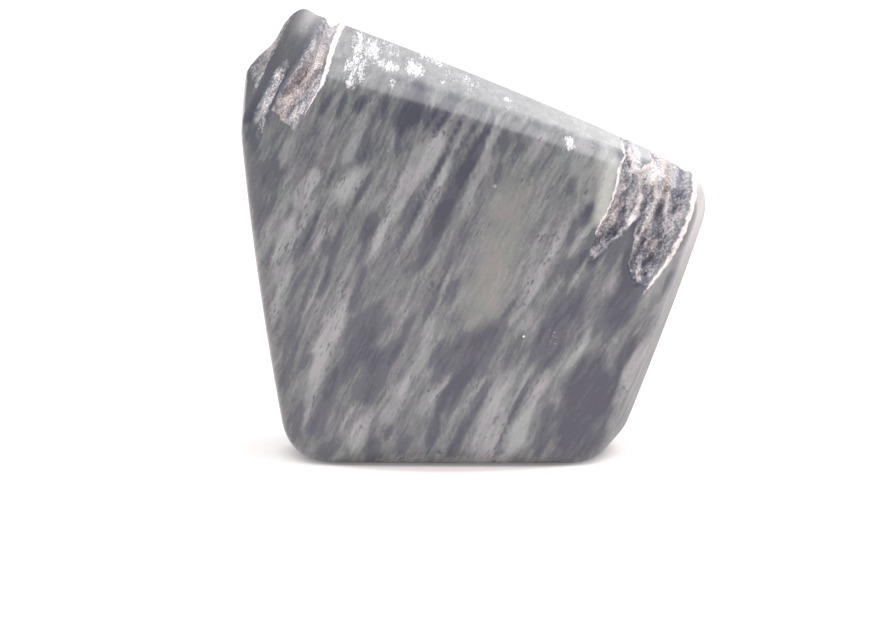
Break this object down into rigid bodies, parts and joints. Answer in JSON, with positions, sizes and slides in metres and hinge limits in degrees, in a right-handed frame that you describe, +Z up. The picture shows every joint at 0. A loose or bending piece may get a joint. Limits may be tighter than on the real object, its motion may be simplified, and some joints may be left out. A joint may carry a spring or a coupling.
{
  "type": "polished mani stone freeform",
  "caption": "Hand-size polished freeform of grey banded gneiss with a flat base, a sloping top and rough broken beds at both upper corners.",
  "frame": {"origin": "middle of the flat base, under the centre of the stone's box", "axes": "+Z up, +X to the right of the broad polished face, which looks along -Y"},
  "size_m": [0.0474, 0.0182, 0.0447],
  "materials": {
    "polished_gneiss": "tumbled and polished, banded grey, rough where soft beds have broken out"
  },
  "bodies": {
    "root": {"mani_stone": "polished_gneiss"}
  },
  "joints": []
}
